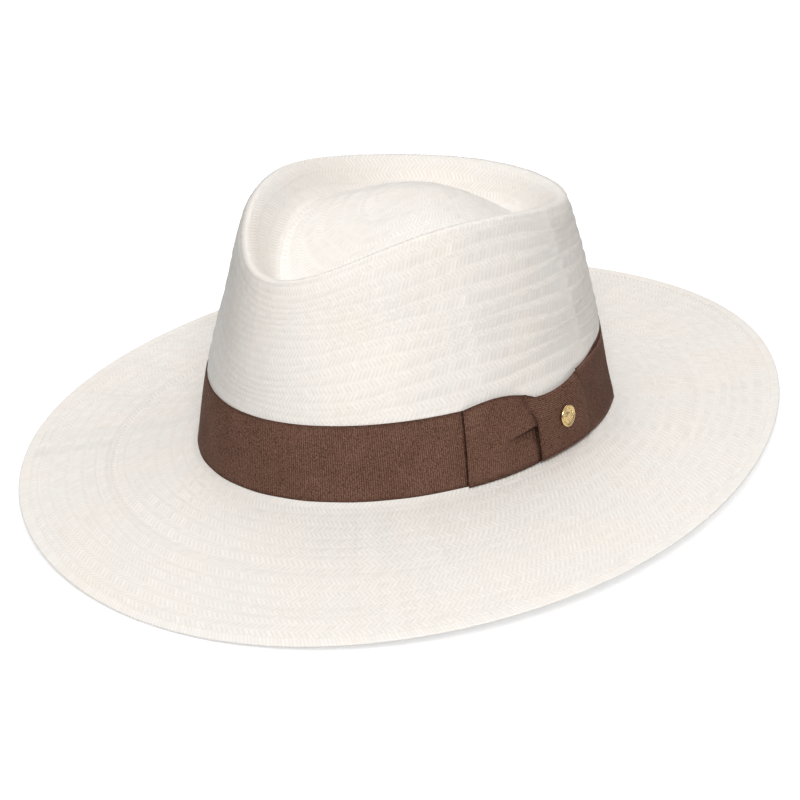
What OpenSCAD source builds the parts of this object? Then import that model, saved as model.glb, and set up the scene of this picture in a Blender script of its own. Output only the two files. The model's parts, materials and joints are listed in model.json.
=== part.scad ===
// Panama hat: woven straw body with a teardrop crown, ribbon band with a flat bow and a metal stud,
// and a sweatband inside. Front is -Y, the wearer's left is +X, and the origin is the middle of the head oval.
// Angles round the hat, called a, run from the front (0) over the wearer's left (90) to the back (180).

/* [Head opening] */
// Half of the head oval, front to back, outside the straw
oval_half_length = 102.3; // [98:0.1:108]
// Half of the head oval, side to side, outside the straw
oval_half_width = 81.3; // [78:0.1:86]
// How much narrower the oval is at the front
oval_egg = 0.03; // [0:0.01:0.06]
// Height of the oval's centre above the table
oval_height = 17.2; // [16:0.1:22]
// Lean of the crown, front up
crown_lean = 5.5; // [3:0.1:7]

/* [Brim] */
// Width of the brim at the front
brim_front = 73.5; // [65:0.5:85]
// Width of the brim at the back
brim_back = 87; // [70:0.5:90]
// Width of the brim at each side
brim_side = 80; // [70:0.5:88]
// How much wider the brim is in front of its middle
brim_egg = 0.06; // [0:0.01:0.08]
// How far the edge is higher at the sides than at the front and back
brim_saddle = 8.4; // [4:0.2:12]
// Dip of the brim between the crown and the edge, at the sides
brim_dip = 3; // [0:0.5:5]
// Thickness of the woven straw
straw_thick = 1.6; // [1.2:0.1:2]
// Radius of the break between brim and crown
break_round = 1.2; // [1:0.1:2]

/* [Crown] */
// Mean height of the ridge above the head oval
ridge_height = 97.5; // [90:0.5:105]
// How far the ridge is higher at the sides than at the ends
ridge_saddle = 15.6; // [8:0.2:20]
// Extra height at the back of the ridge over the front
ridge_rise = 6.4; // [0:0.2:8]
// Extra height of the ridge's front tip
ridge_tip = 4; // [0:0.5:6]
// Half of the ridge outline, side to side
ridge_half_width = 58; // [50:0.5:62]
// Half of the ridge outline, front to back
ridge_half_length = 82; // [76:0.5:88]
// Place of the ridge outline's middle, behind the head oval's middle
ridge_shift = -4.5; // [-8:0.5:4]
// How strongly the ridge outline narrows to the front
ridge_teardrop = 0.27; // [0.1:0.01:0.35]
// Share of the crown's inward lean that builds up evenly
side_lean = 0.88; // [0.8:0.01:0.95]
// Depth of the channel inside the ridge
channel_depth = 13; // [8:0.5:16]
// Distance of the channel from the ridge
channel_inset = 17; // [12:0.5:20]
// Height of the dome's top above the ridge's mean height
dome_rise = 4; // [-4:0.5:6]
// Place of the dome's top, behind the head oval's middle
dome_shift = 10; // [0:1:20]
// Depth of the two front dents
pinch_depth = 2.5; // [0:0.25:5]

/* [Ribbon] */
// Height of the ribbon band
ribbon_height = 33; // [28:0.5:38]
// Thickness of the ribbon
ribbon_thick = 0.6; // [0.5:0.05:0.7]
// Where the bow's front fold is, as an angle from the front
bow_start = 62; // [55:1:70]
// Where the knot's front edge is
knot_start = 83; // [80:1:86]
// Where the knot's rear edge is
knot_end = 101; // [99:1:106]
// Where the rear tail ends
tail_end = 128; // [118:1:136]
// How high the gathered bow is at the knot
knot_height = 31.5; // [28:0.5:32]
// How far the knot's front stands off the straw
knot_stand = 4.4; // [4.3:0.1:5.4]

/* [Stud] */
// Diameter of the stud's disc
stud_d = 9.6; // [8:0.1:11]
// Thickness of the stud's disc
stud_thick = 1.2; // [1:0.1:1.6]
// Diameter of the stud's post
post_d = 1.4; // [1:0.1:1.8]
// Diameter of the clip behind the knot
clip_d = 7; // [6:0.1:8]

/* [Sweatband] */
// Height of the sweatband
sweat_height = 32; // [26:1:36]
// Thickness of the sweatband
sweat_thick = 0.9; // [0.6:0.1:1.2]
// Diameter of the sweatband's corded lower edge
cord_d = 2; // [1.6:0.1:2.4]

/* [Hidden] */

straw_white = [0.94, 0.92, 0.87];
ribbon_brown = [0.41, 0.30, 0.25];
sweat_cream = [0.86, 0.80, 0.70];
stud_gold = [0.83, 0.65, 0.35];
thread_white = [0.90, 0.87, 0.80];
thread_brown = [0.30, 0.21, 0.17];

gap = 0.3;                                // air between one layer and the next
run_gap = 0.06;                           // radial clearance of the stud's post in the knot
straw_steps = 84;                         // stretches round the straw body
trim_steps = 72;                          // stretches round each band
side_round = 4.5;                         // how squarely the crown's side turns into the ridge
side_curve = 1.4;                         // how late the crown's side leans inwards
dome_curve = 1.0;                         // how flat the dome's foot is
tip_spread = 32;                          // half width of the ridge's front tip, in degrees
pinch_angle = 40;                         // where the dents are, either side of the front
pinch_spread = 17;                        // their half width, in degrees
pinch_level = 0.68;                       // their height, as a share of the crown's height
pinch_reach = 0.2;                        // their half height, as a share of the crown's height
stud_a = mix(knot_start, knot_end, 0.56); // where the stud is
stud_level = 16.3;                        // its height above the head oval
band_in = gap;
band_out = band_in + ribbon_thick;
fold_in = band_out + gap;                 // the bow's loops lie on the band
fold_out = fold_in + 2 * ribbon_thick;
tail_out = fold_in + ribbon_thick;
knot_back_in = fold_in;                   // the knot's strip passes behind the loops and over them
knot_back_out = knot_back_in + ribbon_thick;
knot_front_out = knot_stand;
knot_front_in = knot_front_out - ribbon_thick;
stitch_d = 0.5;
tack_length = 2.4;
thread_gap = 0.1;                         // air between a thread and the leather it holds
tack_gap = 0.25;                          // air between a tack and the ribbon it holds

// ---- small helpers ----

function unit(v) = v / norm(v);
function mix(p, q, t) = p + (q - p) * t;
function bell(x, spread) = exp(-pow(x / spread, 2));
function turn_gap(a, b) = let (d = abs(((a % 360) + 360) % 360 - b)) min(d, 360 - d);

// ---- the head frame: the crown's own level, leaning back over the table ----

function lean(p) = [
    p.x,
    p.y * cos(crown_lean) + p.z * sin(crown_lean),
    -p.y * sin(crown_lean) + p.z * cos(crown_lean)
];

module on_head() {
    rotate([-crown_lean, 0, 0]) children();
}

// ---- curves round the hat ----

function head_oval(a) = [
    oval_half_width * sin(a) * (1 - oval_egg * cos(a)),
    -oval_half_length * cos(a)
];

function ridge_oval(a) = [
    ridge_half_width * sin(a) * (1 - ridge_teardrop * cos(a)),
    ridge_shift - ridge_half_length * cos(a)
];

function ridge_z(a) = ridge_height - ridge_saddle / 2 * cos(2 * a)
    - ridge_rise / 2 * cos(3 * a) + ridge_tip * bell(turn_gap(a, 0), tip_spread);

function brim_edge(a) = let (
    mean = (brim_front + brim_back) / 2,
    swing = (brim_front - brim_back) / 2
) [
    (oval_half_width + brim_side) * sin(a) * (1 + brim_egg * cos(a)),
    -(oval_half_length + mean) * cos(a) - swing * pow(cos(a), 2),
    straw_thick - oval_height + brim_saddle / 2 * (1 - cos(2 * a)) + brim_saddle / 10 * (1 - cos(4 * a))
];

// ---- the crown's side, in the head frame ----

function lean_share(q) = side_lean * pow(q, side_curve)
    + (1 - side_lean) * (1 - pow(max(0, 1 - pow(q, side_round)), 1 / side_round));

function pinch(a, q) = pinch_depth * bell(q - pinch_level, pinch_reach)
    * (bell(turn_gap(a, pinch_angle), pinch_spread) + bell(turn_gap(a, 360 - pinch_angle), pinch_spread));

function side_point(a, z) = let (
    q = min(1, max(0, z / ridge_z(a))),
    plan = mix(head_oval(a), ridge_oval(a), lean_share(q)),
    out = unit(head_oval(a)),
    flat = plan + out * (break_round * break_round / max(z, break_round) - pinch(a, q))
) [flat.x, flat.y, z];

function side_normal(a, z) = unit(cross(
    side_point(a + 0.5, z) - side_point(a - 0.5, z),
    side_point(a, z + 0.5) - side_point(a, z - 0.5)
));

// A point off the crown's outside, so far outwards; negative offsets are inside the hat.
function off_side(a, z, out) = side_point(a, z) + side_normal(a, z) * out;

// ---- the whole straw surface: s is 0 at the brim edge, 1 at the break, 2 on the ridge, 3 at the dome's top ----

dome_top = [0, dome_shift, ridge_height + dome_rise];

function brim_point(a, w) = let (
    foot = lean([head_oval(a).x, head_oval(a).y, 0]),
    edge = brim_edge(a),
    width = norm([edge.x - foot.x, edge.y - foot.y]),
    run = max(w * width, break_round),
    share = run / width,
    plan = mix([foot.x, foot.y], [edge.x, edge.y], share),
    dip = brim_dip * pow(sin(a), 2) * sin(180 * min(1, share))
) [plan.x, plan.y, mix(foot.z, edge.z, share) - dip + break_round * break_round / run];

function top_point(a, u) = let (
    ridge = ridge_oval(a),
    reach = norm([ridge.x - dome_top.x, ridge.y - dome_top.y]),
    inner = channel_inset / reach,
    share = u < 0.5 ? inner * u * 2 : mix(inner, 1, u * 2 - 1),
    plan = mix(ridge, [dome_top.x, dome_top.y], share),
    floor_z = ridge_z(a) - channel_depth,
    z = u < 0.5 ? mix(ridge_z(a), floor_z, (1 - cos(360 * u)) / 2)
        : mix(floor_z, dome_top.z, pow(sin(90 * (u * 2 - 1)), dome_curve))
) [plan.x, plan.y, z];

function straw_point(a, s) =
    s < 1 ? brim_point(a, 1 - s)
    : s < 2 ? lean(side_point(a, max(break_round, (s - 1) * ridge_z(a))))
    : lean(top_point(a, min(1, s - 2)));

// The step each way reaches past the break's rounding, so the direction holds on the break as well.
function straw_normal(a, s, step = 0.025) = unit(cross(
    straw_point(a + 0.5, s) - straw_point(a - 0.5, s),
    straw_point(a, s + step) - straw_point(a, s - step)
));

// ---- closed solids from rings of points ----

function ring_quads(low, high, n) = [
    for (i = [0 : n - 1]) each [
        [low + i, low + (i + 1) % n, high + (i + 1) % n],
        [low + i, high + (i + 1) % n, high + i]
    ]
];

// A ring swept round the hat: section_at(a) gives the same number of points at each angle.
module swept_ring(sections) {
    n = len(sections[0]);
    count = len(sections);
    points = [for (section = sections) each section];
    faces = [
        for (i = [0 : count - 1]) each ring_quads(i * n, ((i + 1) % count) * n, n)
    ];
    polyhedron(points, faces, convexity = 10);
}

// The same between two ends, with a cap on each; a section goes up its outer face and down its inner one.
module swept_strip(sections) {
    n = len(sections[0]);
    last = len(sections) - 1;
    points = [for (section = sections) each section];
    faces = [
        for (i = [0 : n / 2 - 2]) each [[n - 1 - i, n - 2 - i, i + 1], [n - 1 - i, i + 1, i]],
        for (i = [0 : last - 1]) each ring_quads(i * n, (i + 1) * n, n),
        for (i = [0 : n / 2 - 2]) each [
            [last * n + i, last * n + i + 1, last * n + n - 2 - i],
            [last * n + i, last * n + n - 2 - i, last * n + n - 1 - i]
        ]
    ];
    polyhedron(points, faces, convexity = 10);
}

// A flat layer's section on the crown's side, between two heights and two offsets. Its rows lie closer
// together low down, where the side flares into the brim.
function layer_section(a, z_low, z_high, inside, outside, rows = 4) = let (
    levels = [for (i = [0 : rows]) mix(z_low, z_high, pow(i / rows, 1.5))]
) [
    for (i = [0 : rows]) off_side(a, levels[i], outside),
    for (i = [rows : -1 : 0]) off_side(a, levels[i], inside)
];

module layer_strip(a_from, a_to, z_low, z_high, inside, outside, steps) {
    on_head() swept_strip([
        for (i = [0 : steps])
            layer_section(mix(a_from, a_to, i / steps), z_low, z_high, inside, outside)
    ]);
}

// A round cord's section at a place off the crown's side.
function cord_section(a, z, out, r) = [
    for (i = [0 : 5]) off_side(a, z + r * sin(60 * i), out + r * cos(60 * i))
];

// Stands upright on the crown's side at an angle and a height, with +Z out of the hat.
module at_side(a, z, out) {
    p = off_side(a, z, out);
    n = side_normal(a, z);
    on_head() translate(p) rotate([0, acos(n.z), atan2(n.y, n.x)]) children();
}

// ---- straw ----

brim_rows = [0, 0.06, 0.18, 0.36, 0.54, 0.72, 0.88, 0.96];
side_rows = [0, 0.02, 0.05, 0.1, 0.2, 0.34, 0.48, 0.6, 0.72, 0.83, 0.91, 0.96];
top_rows = [0, 0.1, 0.22, 0.36, 0.5, 0.6, 0.7, 0.8, 0.88, 0.95];
straw_rows = concat(brim_rows, [for (q = side_rows) 1 + q], [for (u = top_rows) 2 + u]);

module straw_body() {
    n = straw_steps;
    rows = len(straw_rows);
    around = [for (i = [0 : n - 1]) i * 360 / n];
    upper = [for (s = straw_rows) for (a = around) straw_point(a, s)];
    lower = [for (s = straw_rows) for (a = around) straw_point(a, s) - straw_normal(a, s) * straw_thick];
    crown_top = lean(dome_top);
    poles = [crown_top, crown_top - [0, 0, straw_thick]];
    under = rows * n;
    pole = 2 * rows * n;
    faces = [
        for (r = [0 : rows - 2]) each ring_quads((r + 1) * n, r * n, n),
        for (r = [0 : rows - 2]) each ring_quads(under + r * n, under + (r + 1) * n, n),
        each ring_quads(0, under, n),
        for (i = [0 : n - 1]) [(rows - 1) * n + i, pole, (rows - 1) * n + (i + 1) % n],
        for (i = [0 : n - 1]) [under + (rows - 1) * n + i, under + (rows - 1) * n + (i + 1) % n, pole + 1]
    ];
    color(straw_white) polyhedron(concat(upper, lower, poles), faces, convexity = 12);
}

// The line of thread that holds the turned edge of the brim, laid on the straw.
module brim_edge_thread() {
    inset = 0.05;
    r = stitch_d / 2;
    color(thread_white) swept_ring([
        for (i = [0 : trim_steps - 1]) let (
            a = i * 360 / trim_steps,
            up = straw_normal(a, inset),
            out = unit([brim_edge(a).x, brim_edge(a).y, 0]),
            centre = straw_point(a, inset) + up * (r + 0.2)
        ) [for (k = [0 : 5]) centre + out * r * cos(60 * k) + up * r * sin(60 * k)]
    ]);
}

// ---- ribbon band and bow ----

band_low = break_round + 0.7;
tuck = 1.5;                               // how far, in degrees, the bow's ends go into the knot
tuck_rise = 0.8;                          // how far the bow's layers rise to go into it
gathered = knot_height - 1.5;             // how high the bow's layers reach inside it

// The band is one ribbon round the crown. One end lies under the bow's rear tail, the other just under
// the front fold, so the straw shows above the gathered bow.
module hat_band() {
    under_fold = 5;
    color(ribbon_brown) layer_strip(
        knot_end + under_fold, bow_start + under_fold + 360, band_low, ribbon_height,
        band_in, band_out, trim_steps
    );
}

// The loop swells and narrows towards the knot, where it is gathered.
module bow_front_loop() {
    steps = 10;
    color(ribbon_brown) on_head() swept_strip([
        for (i = [0 : steps]) let (
            t = i / steps,
            rise = tuck_rise * sin(90 * t),
            top = mix(ribbon_height, gathered, t)
        ) layer_section(mix(bow_start, knot_start + tuck, t), band_low, top, fold_in + rise, fold_out + rise)
    ]);
}

module bow_rear_tail() {
    steps = 12;
    widening = 0.3;
    color(ribbon_brown) on_head() swept_strip([
        for (i = [0 : steps]) let (
            t = i / steps,
            top = mix(gathered, ribbon_height, min(1, t / widening)),
            rise = tuck_rise * (1 - min(1, t / widening))
        ) layer_section(mix(knot_end - tuck, tail_end, t), band_low, top, fold_in + rise, tail_out + rise)
    ]);
}

// A strip wrapped upright round the bow's waist: front wall, back wall and the two turns.
module bow_knot() {
    steps = 6;
    beyond = 2;
    hollow_low = band_low - gap;
    color(ribbon_brown) difference() {
        layer_strip(knot_start, knot_end, hollow_low - ribbon_thick, knot_height,
            knot_back_in, knot_front_out, steps);
        layer_strip(knot_start - beyond, knot_end + beyond, hollow_low, knot_height - ribbon_thick,
            knot_back_out, knot_front_in, steps + 2);
        at_side(stud_a, stud_level, post_low)
            cylinder(r = post_d / 2 + run_gap, h = knot_stand, $fn = 48);
    }
}

// ---- stud: turns as one piece in the knot's hole ----

post_low = knot_back_out + 0.5;
post_high = knot_front_out + 0.15;
clip_level = post_low + 0.3;
clip_thick = 0.5;

// A coin with a raised rim and a plain raised boss.
module stud_disc() {
    rim = 0.9;
    boss_d = 3.6;
    floor_level = stud_thick * 0.65;
    boss_height = stud_thick * 0.25;
    at_side(stud_a, stud_level, post_high) {
        color(stud_gold) difference() {
            cylinder(d = stud_d, h = stud_thick, $fn = 72);
            translate([0, 0, floor_level]) cylinder(d = stud_d - 2 * rim, h = stud_thick, $fn = 72);
        }
        color(stud_gold) translate([0, 0, floor_level / 2])
            cylinder(d = boss_d, h = floor_level / 2 + boss_height, $fn = 48);
    }
}

module stud_post() {
    at_side(stud_a, stud_level, post_low)
        color(stud_gold) cylinder(d = post_d, h = post_high - post_low, $fn = 48);
}

// The spring clip on the post's inner end, in the hollow of the knot.
module stud_clip() {
    at_side(stud_a, stud_level, clip_level) color(stud_gold) difference() {
        cylinder(d = clip_d, h = clip_thick, $fn = 48);
        translate([0, 0, -1]) cylinder(d = post_d, h = clip_thick + 2, $fn = 48);
    }
}

// ---- sweatband ----

inside_face = -straw_thick - 0.5;
leather_face = inside_face - sweat_thick; // the side towards the head
sweat_low = 3;
leather_low = sweat_low + cord_d;
leather_high = sweat_low + sweat_height;

module sweatband() {
    color(sweat_cream) on_head() swept_ring([
        for (i = [0 : trim_steps - 1])
            layer_section(i * 360 / trim_steps, leather_low, leather_high, leather_face, inside_face)
    ]);
}

// The rolled lower edge: a cord in its own sleeve, just under the leather.
module sweatband_cord() {
    r = cord_d / 2 - thread_gap;
    color(sweat_cream) on_head() swept_ring([
        for (i = [0 : trim_steps - 1])
            cord_section(i * 360 / trim_steps, sweat_low + r, inside_face - r, r)
    ]);
}

// Short stitches in a line just above the cord, lying on the leather.
module sweatband_stitches() {
    count = 60;
    length = 3;
    level = leather_low + 2.5;
    for (i = [0 : count - 1])
        at_side((i + 0.5) * 360 / count, level, leather_face - stitch_d / 2 - thread_gap)
            rotate([90, 0, 0])
                color(thread_white) cylinder(d = stitch_d, h = length, center = true, $fn = 16);
}

// The tape that covers the seam at the back.
module sweatband_seam_tape() {
    half = 3;
    face = leather_face - gap;
    color(sweat_cream) layer_strip(180 - half, 180 + half, leather_low + 4, leather_high - 2,
        face - 0.5, face, 2);
}

// A small flat bow of narrow ribbon on the tape: two loops and a knot.
module sweatband_bow() {
    face = leather_face - 1;
    level = leather_low + 9;
    loop_half = 2.5;
    loop_reach = 3.2;
    knot_half = 1.8;
    knot_reach = 0.8;
    color(ribbon_brown) {
        for (side = [-1, 1]) let (middle = 180 + side * (knot_reach + gap + loop_reach))
            layer_strip(middle - loop_reach, middle + loop_reach,
                level - loop_half, level + loop_half, face - 1, face, 2);
        layer_strip(180 - knot_reach, 180 + knot_reach, level - knot_half, level + knot_half,
            face - 1.4, face, 1);
    }
}

// A blank woven tab, tucked by the seam.
module size_tab() {
    tab_a = 194;
    tab_spread = 5;
    tab_low = leather_low + 6;
    tab_height = 12;
    face = leather_face - gap;
    color(thread_white) layer_strip(tab_a, tab_a + tab_spread, tab_low, tab_low + tab_height,
        face - 0.4, face, 2);
}

// ---- thread tacks ----

module tack(a, z, out) {
    at_side(a, z, out + stitch_d / 2 + tack_gap) rotate([0, 90, 0])
        color(thread_brown) cylinder(d = stitch_d, h = tack_length, center = true, $fn = 16);
}

// Upright tacks that hold the band to the crown, in pairs along its two edges.
module band_tacks() {
    inset = 2.6;
    for (a = [20, 150, 210, 250, 290, 330])
        for (z = [band_low + inset, ribbon_height - inset]) tack(a, z, band_out);
}

// Two tacks at the front fold and two at the tail's end.
module bow_tacks() {
    inset = 4;
    for (z = [band_low + inset, ribbon_height - inset]) {
        tack(bow_start + 1, z, fold_out + thread_gap);
        tack(tail_end - 1, z, tail_out);
    }
}

straw_body();
brim_edge_thread();
hat_band();
bow_front_loop();
bow_rear_tail();
bow_knot();
stud_disc();
stud_post();
stud_clip();
sweatband();
sweatband_cord();
sweatband_stitches();
sweatband_seam_tape();
sweatband_bow();
size_tab();
band_tacks();
bow_tacks();
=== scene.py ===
"""Looks of a wide-brimmed panama hat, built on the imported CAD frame.

The front is -Y and the wearer's left +X. The shape is worked out in millimetres, and turned into metres when
a mesh is made. Angles round the hat are in degrees, from the front (0) over the wearer's left (90). A place
on the straw is an angle a and a level s: 0 at the brim's edge, 1 at the break, 2 on the ridge, and 3 at the
dome's top.
"""

import json
import math

import bpy
import numpy as np
from mathutils import Matrix, Vector


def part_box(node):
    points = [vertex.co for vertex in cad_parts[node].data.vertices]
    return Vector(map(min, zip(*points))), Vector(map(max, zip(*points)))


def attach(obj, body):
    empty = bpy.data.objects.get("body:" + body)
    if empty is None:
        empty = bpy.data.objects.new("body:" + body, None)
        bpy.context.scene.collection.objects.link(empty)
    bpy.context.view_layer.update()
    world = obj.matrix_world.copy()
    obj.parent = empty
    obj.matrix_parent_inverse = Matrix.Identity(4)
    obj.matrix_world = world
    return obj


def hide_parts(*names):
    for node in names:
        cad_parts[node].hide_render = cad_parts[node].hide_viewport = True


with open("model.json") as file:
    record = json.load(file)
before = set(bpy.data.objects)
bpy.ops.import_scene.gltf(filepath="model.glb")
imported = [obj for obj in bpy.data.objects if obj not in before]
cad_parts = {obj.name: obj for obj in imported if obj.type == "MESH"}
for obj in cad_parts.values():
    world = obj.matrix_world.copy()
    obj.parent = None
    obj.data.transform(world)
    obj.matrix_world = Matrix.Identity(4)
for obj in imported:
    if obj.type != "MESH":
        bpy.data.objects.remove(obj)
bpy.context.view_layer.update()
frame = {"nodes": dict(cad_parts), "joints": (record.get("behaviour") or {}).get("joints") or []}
rng = np.random.default_rng(11)
MM = 0.001

# ---------------------------------------------------------------- sizes, in millimetres


def box_mm(node):
    low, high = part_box(node)
    return np.array(low) / MM, np.array(high) / MM


# The straw: the head oval, the crown's lean, the brim, the break between them, and the crown's top.
STRAW_LOW, STRAW_HIGH = box_mm("straw_body")
STRAW_THICK, RIM_THICK = 1.6, 1.0
OVAL_LENGTH, OVAL_WIDTH, OVAL_EGG = 102.3, 81.3, 0.03
OVAL_HEIGHT = -STRAW_LOW[2]
CROWN_LEAN = math.radians(5.5)

BRIM_EGG = 0.06
BRIM_FRONT = -STRAW_LOW[1] - OVAL_LENGTH
BRIM_BACK = STRAW_HIGH[1] - OVAL_LENGTH
EGG_BULGE = 1 + BRIM_EGG**2 / 2
BRIM_SIDE = STRAW_HIGH[0] / EGG_BULGE - OVAL_WIDTH
BRIM_SADDLE = 8.4
BRIM_DIP = 3.0
BREAK_ROUND = 1.2

RIDGE_HEIGHT, RIDGE_SADDLE, RIDGE_RISE = 97.5, 15.6, 6.4
RIDGE_WIDTH, RIDGE_LENGTH = 58.0, 82.0
RIDGE_SHIFT, RIDGE_TEARDROP = -4.5, 0.27
RIDGE_TIP, TIP_SPREAD = 4.0, 32.0
SIDE_LEAN, SIDE_CURVE, SIDE_ROUND = 0.88, 1.4, 4.5
CHANNEL_DEPTH, CHANNEL_INSET = 13.0, 17.0
DOME_RISE, DOME_SHIFT, DOME_CURVE = 4.0, 10.0, 1.0
PINCH_DEPTH, PINCH_ANGLE, PINCH_SPREAD = 2.5, 40.0, 17.0
PINCH_LEVEL, PINCH_REACH = 0.68, 0.2

# The ribbon and its bow: heights up the crown, angles round it, and how far each layer stands off it.
RIBBON_LOW, RIBBON_HEIGHT, RIBBON_THICK, RIBBON_FLARE = 0.75, 33.0, 0.6, 0.15
CLOTH_THICK = RIBBON_THICK - 0.15
RIB_PITCH, RIB_STEPS, RIB_DEPTH, EDGE_TONE = 0.95, 4, 0.09, 0.3
BOW_START, KNOT_START, KNOT_END, TAIL_END = 62.0, 83.0, 103.0, 128.0
FOLD_LEAN, GATHER, PLEAT_FROM = 1.0, 0.5, 0.40
KNOT_STAND, KNOT_TOP, KNOT_SAG, KNOT_SHOULDER = 4.4, 30.9, 2.4, 8.0
LAYER_GAP = 0.3
BAND_LOW = BREAK_ROUND + 0.7
BAND_OUT = LAYER_GAP + RIBBON_THICK
FOLD_IN = BAND_OUT + LAYER_GAP
FOLD_OUT = FOLD_IN + 2 * RIBBON_THICK

# The sweatband, with the faces it turns to the straw and to the head.
SWEAT_LOW, SWEAT_HEIGHT, SWEAT_THICK, CORD_D = 3.0, 32.0, 0.9, 2.0
INSIDE_FACE = -STRAW_THICK - 0.5
LEATHER_FACE = INSIDE_FACE - SWEAT_THICK
LEATHER_LOW = SWEAT_LOW + CORD_D
LEATHER_HIGH = SWEAT_LOW + SWEAT_HEIGHT

# ---------------------------------------------------------------- the hat's surface


def sind(a):
    return np.sin(np.radians(a))


def cosd(a):
    return np.cos(np.radians(a))


def mix(p, q, t):
    return p + (q - p) * t


def bell(x, spread):
    """1 at 0, falling smoothly to nearly nothing at twice the spread."""
    return np.exp(-((x / spread) ** 2))


def smooth_step(x):
    x = np.clip(x, 0, 1)
    return x * x * (3 - 2 * x)


def turn_gap(a, b):
    """The smaller angle between two directions."""
    gap = np.abs(np.mod(a, 360) - b)
    return np.minimum(gap, 360 - gap)


def unit(v):
    return v / np.maximum(np.linalg.norm(v, axis=-1, keepdims=True), 1e-9)


def stack(*parts):
    return np.stack(np.broadcast_arrays(*parts), -1)


def circle(sides):
    return np.arange(sides) * 2 * math.pi / sides


def lean(point):
    """From the crown's own upright to the shared frame: the crown leans back."""
    x, y, z = point[..., 0], point[..., 1], point[..., 2]
    cos, sin = math.cos(CROWN_LEAN), math.sin(CROWN_LEAN)
    return stack(x, y * cos + z * sin, -y * sin + z * cos)


def head_oval(a):
    return stack(OVAL_WIDTH * sind(a) * (1 - OVAL_EGG * cosd(a)), -OVAL_LENGTH * cosd(a))


def ridge_oval(a):
    across = RIDGE_WIDTH * sind(a) * (1 - RIDGE_TEARDROP * cosd(a))
    return stack(across, RIDGE_SHIFT - RIDGE_LENGTH * cosd(a))


def ridge_z(a):
    tip = RIDGE_TIP * bell(turn_gap(a, 0), TIP_SPREAD)
    return RIDGE_HEIGHT - RIDGE_SADDLE / 2 * cosd(2 * a) - RIDGE_RISE / 2 * cosd(3 * a) + tip


def brim_edge(a):
    mean, swing = (BRIM_FRONT + BRIM_BACK) / 2, (BRIM_FRONT - BRIM_BACK) / 2
    saddle = BRIM_SADDLE / 2 * (1 - cosd(2 * a)) + BRIM_SADDLE / 10 * (1 - cosd(4 * a))
    return stack(
        (OVAL_WIDTH + BRIM_SIDE) * sind(a) * (1 + BRIM_EGG * cosd(a)),
        -(OVAL_LENGTH + mean) * cosd(a) - swing * cosd(a) ** 2,
        STRAW_THICK - OVAL_HEIGHT + saddle,
    )


def lean_share(q):
    """How far the side has moved in from the head oval to the ridge, at a share q of the ridge's height."""
    turn = 1 - np.clip(1 - q**SIDE_ROUND, 0, 1) ** (1 / SIDE_ROUND)
    return SIDE_LEAN * q**SIDE_CURVE + (1 - SIDE_LEAN) * turn


def pinch(a, q):
    """Depth of the two dents beside the front."""
    dents = bell(turn_gap(a, PINCH_ANGLE), PINCH_SPREAD) + bell(turn_gap(a, 360 - PINCH_ANGLE), PINCH_SPREAD)
    return PINCH_DEPTH * bell(q - PINCH_LEVEL, PINCH_REACH) * dents


def side_point(a, z):
    """A point of the crown's side in the crown's own upright, at a height z over the head oval."""
    q = np.clip(z / ridge_z(a), 0, 1)
    plan = mix(head_oval(a), ridge_oval(a), lean_share(q)[..., None])
    push = BREAK_ROUND**2 / np.maximum(z, BREAK_ROUND) - pinch(a, q)
    flat = plan + unit(head_oval(a)) * push[..., None]
    return stack(flat[..., 0], flat[..., 1], z)


def off_side(a, z, out):
    """A point so far outwards off the crown's side, in the shared frame."""
    a, z, out = np.broadcast_arrays(np.asarray(a, float), np.asarray(z, float), np.asarray(out, float))
    around = side_point(a + 0.5, z) - side_point(a - 0.5, z)
    upward = side_point(a, z + 0.5) - side_point(a, z - 0.5)
    return lean(side_point(a, z) + unit(np.cross(around, upward)) * out[..., None])


def brim_point(a, w):
    """A point of the brim's upper side: w is 0 at the break and 1 at the edge."""
    foot = lean(np.concatenate([head_oval(a), np.zeros(a.shape + (1,))], -1))
    edge = brim_edge(a)
    width = np.linalg.norm(edge[..., :2] - foot[..., :2], axis=-1)
    run = np.maximum(w * width, BREAK_ROUND)
    share = run / width
    plan = mix(foot[..., :2], edge[..., :2], share[..., None])
    dip = BRIM_DIP * sind(a) ** 2 * sind(180 * np.minimum(1, share))
    z = mix(foot[..., 2], edge[..., 2], share) - dip + BREAK_ROUND**2 / run
    return stack(plan[..., 0], plan[..., 1], z)


def top_point(a, u):
    """The crown's top: u is 0 on the ridge, 0.5 in the channel's floor and 1 at the dome's top."""
    dome = np.array([0.0, DOME_SHIFT])
    ridge = ridge_oval(a)
    inner = CHANNEL_INSET / np.linalg.norm(ridge - dome, axis=-1)
    rise = np.clip(u * 2 - 1, 0, 1)
    share = np.where(u < 0.5, inner * u * 2, mix(inner, 1, rise))
    plan = mix(ridge, dome, share[..., None])
    floor_z = ridge_z(a) - CHANNEL_DEPTH
    fall = mix(ridge_z(a), floor_z, (1 - cosd(360 * u)) / 2)
    climb = mix(floor_z, RIDGE_HEIGHT + DOME_RISE, sind(90 * rise) ** DOME_CURVE)
    return stack(plan[..., 0], plan[..., 1], np.where(u < 0.5, fall, climb))


def straw_point(a, s):
    """A point of the straw's upper side."""
    a, s = np.broadcast_arrays(np.asarray(a, float), np.asarray(s, float))
    brim = brim_point(a, np.clip(1 - s, 0, 1))
    side = lean(side_point(a, np.clip((s - 1) * ridge_z(a), BREAK_ROUND, None)))
    top = lean(top_point(a, np.clip(s - 2, 0, 1)))
    return np.where((s < 1)[..., None], brim, np.where((s < 2)[..., None], side, top))


def straw_normal(a, s, step=0.025):
    """Straight out of the straw. The step reaches past the break's rounding, so it holds on the break too."""
    around = straw_point(a + 0.5, s) - straw_point(a - 0.5, s)
    inward = straw_point(a, s + step) - straw_point(a, np.maximum(s - step, 0))
    return unit(np.cross(around, inward))


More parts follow.
